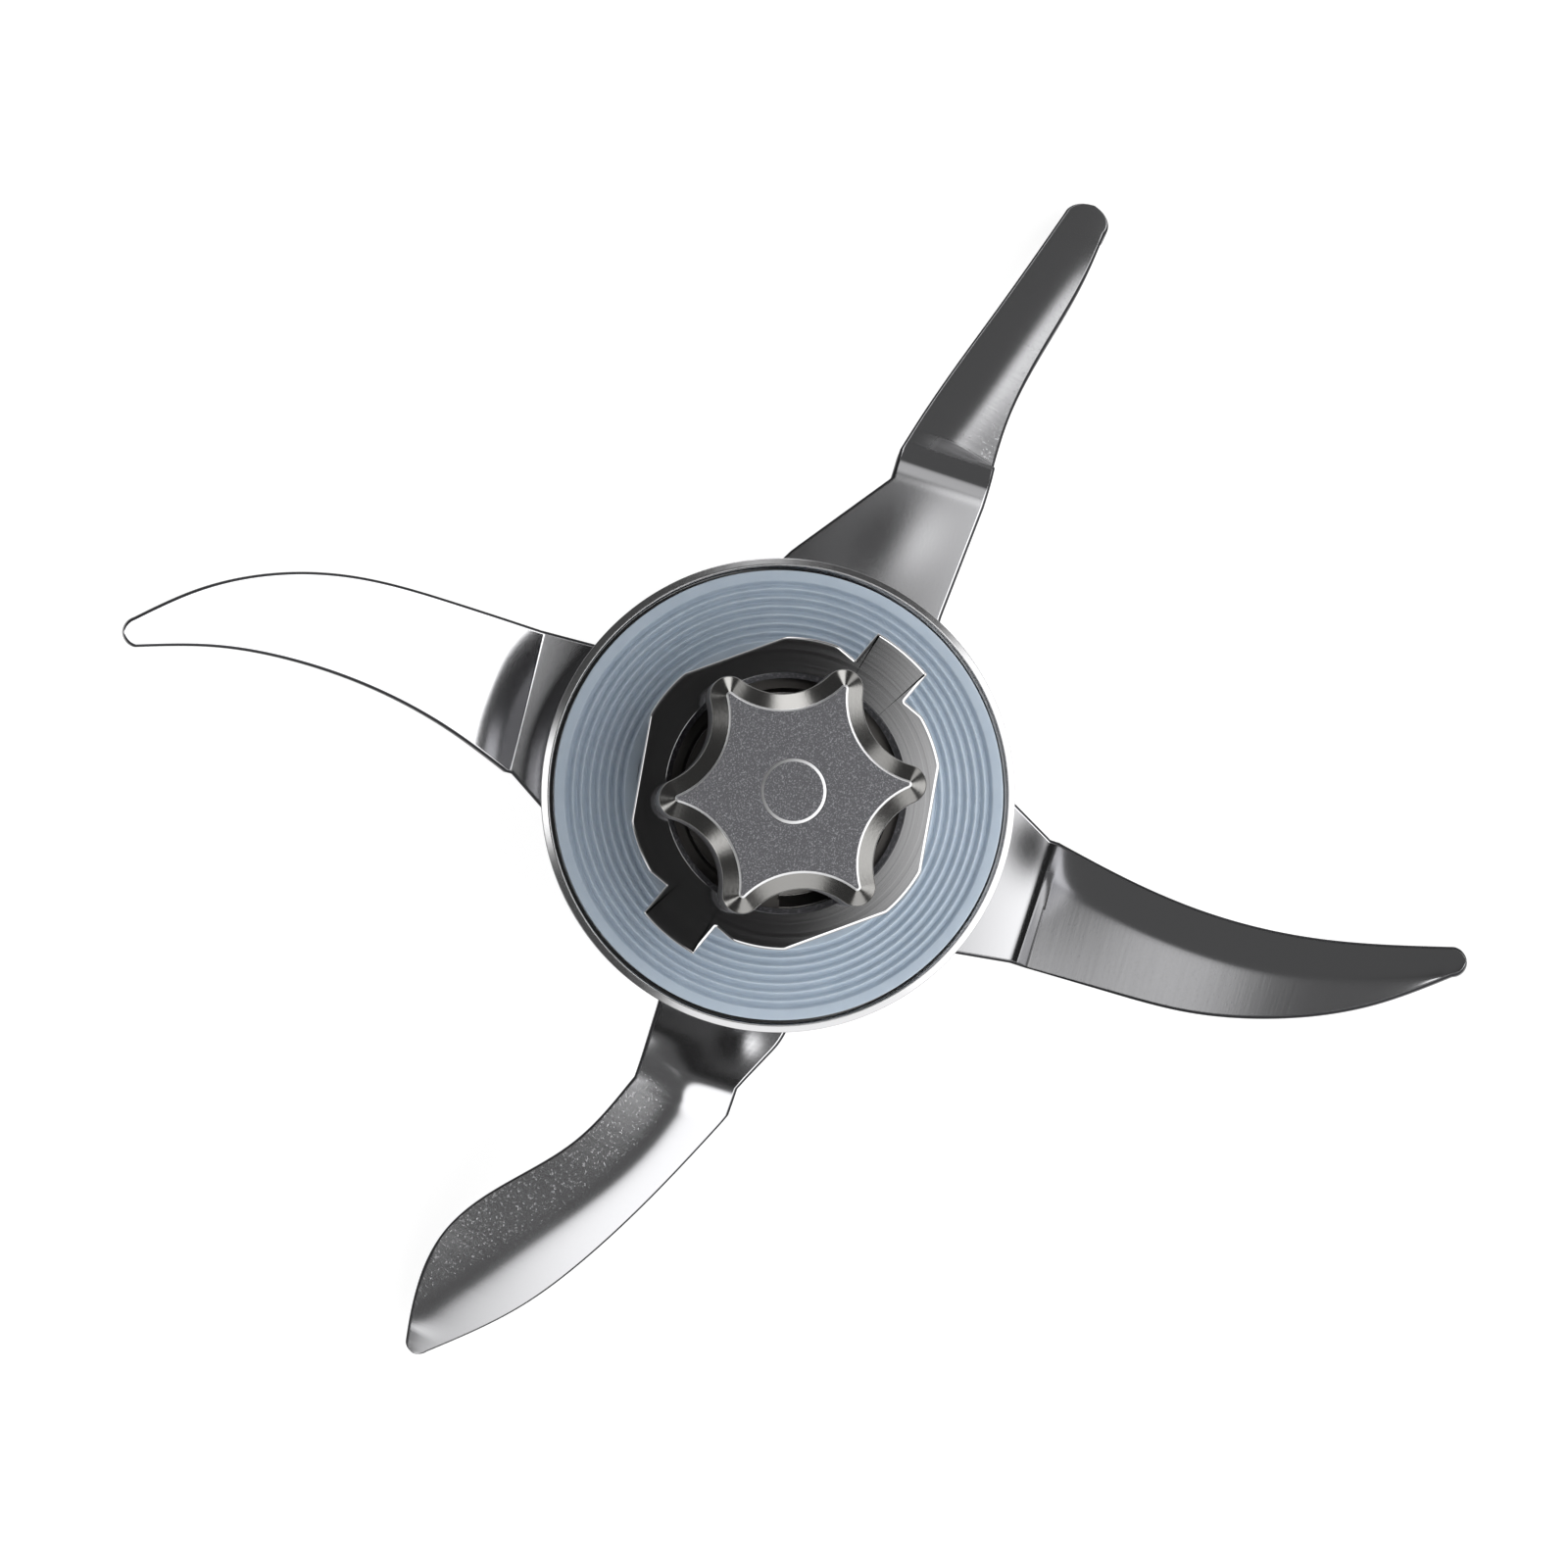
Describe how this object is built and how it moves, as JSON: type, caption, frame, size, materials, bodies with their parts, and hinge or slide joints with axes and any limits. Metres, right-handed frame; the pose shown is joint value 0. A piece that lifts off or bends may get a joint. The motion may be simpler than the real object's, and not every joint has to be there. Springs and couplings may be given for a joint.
{
  "type": "blender blade assembly",
  "caption": "Blender knife unit: bayonet housing with ribbed seal, lobed drive star, sealed bearings and formed, ground wings that spin on one shaft.",
  "frame": {"origin": "on the shaft's axis, in the plane where the silicone seal meets the jug's floor", "axes": "+Z along the shaft towards the drive star, as pictured; +X through one bayonet lug"},
  "size_m": [0.1217, 0.1086, 0.0653],
  "materials": {
    "housing_steel": "turned and polished stainless steel",
    "seal_silicone": "moulded translucent blue-grey silicone, satin",
    "star_steel": "sintered steel, bead-blasted face with bright bevel",
    "blade_steel": "rolled and ground stainless steel, semi-bright",
    "shaft_steel": "turned stainless steel",
    "spring_steel": "phosphated spring steel",
    "bearing_steel": "ground bearing steel",
    "cage_plastic": "moulded polyamide",
    "lip_rubber": "black moulded rubber"
  },
  "bodies": {
    "housing": {"bearing_housing": "housing_steel", "sealing_ring": "seal_silicone", "bearing_circlip": "spring_steel", "preload_washer": "spring_steel", "outer_spacer": "shaft_steel", "shaft_seal_case": "shaft_steel", "shaft_seal_lip": "lip_rubber", "shaft_seal_spring": "spring_steel", "coupling_bearing_outer_race": "bearing_steel", "coupling_bearing_outer_shield": "shaft_steel", "coupling_bearing_inner_shield": "shaft_steel", "blade_bearing_outer_race": "bearing_steel", "blade_bearing_outer_shield": "shaft_steel", "blade_bearing_inner_shield": "shaft_steel"},
    "rotor": {"drive_shaft": "shaft_steel", "drive_star": "star_steel", "lower_blade": "blade_steel", "upper_blade": "blade_steel", "blade_washer": "shaft_steel", "cap_nut": "shaft_steel", "inner_spacer": "shaft_steel", "coupling_bearing_inner_race": "bearing_steel", "blade_bearing_inner_race": "bearing_steel"},
    "coupling_bearing_set": {"coupling_bearing_balls": "bearing_steel", "coupling_bearing_cage": "cage_plastic"},
    "blade_bearing_set": {"blade_bearing_balls": "bearing_steel", "blade_bearing_cage": "cage_plastic"}
  },
  "joints": [
    {"name": "rotor_spin", "type": "hinge", "parent": "housing", "child": "rotor", "pos_m": [0, 0, 0], "axis": [0, 0, 1], "continuous": true},
    {"name": "coupling_bearing_orbit", "type": "hinge", "parent": "housing", "child": "coupling_bearing_set", "pos_m": [0, 0, 0], "axis": [0, 0, 1], "continuous": true},
    {"name": "blade_bearing_orbit", "type": "hinge", "parent": "housing", "child": "blade_bearing_set", "pos_m": [0, 0, 0], "axis": [0, 0, 1], "continuous": true}
  ],
  "couplings": [
    {"joint": "coupling_bearing_orbit", "follows": "rotor_spin", "ratio": 0.38889},
    {"joint": "blade_bearing_orbit", "follows": "rotor_spin", "ratio": 0.38889}
  ]
}
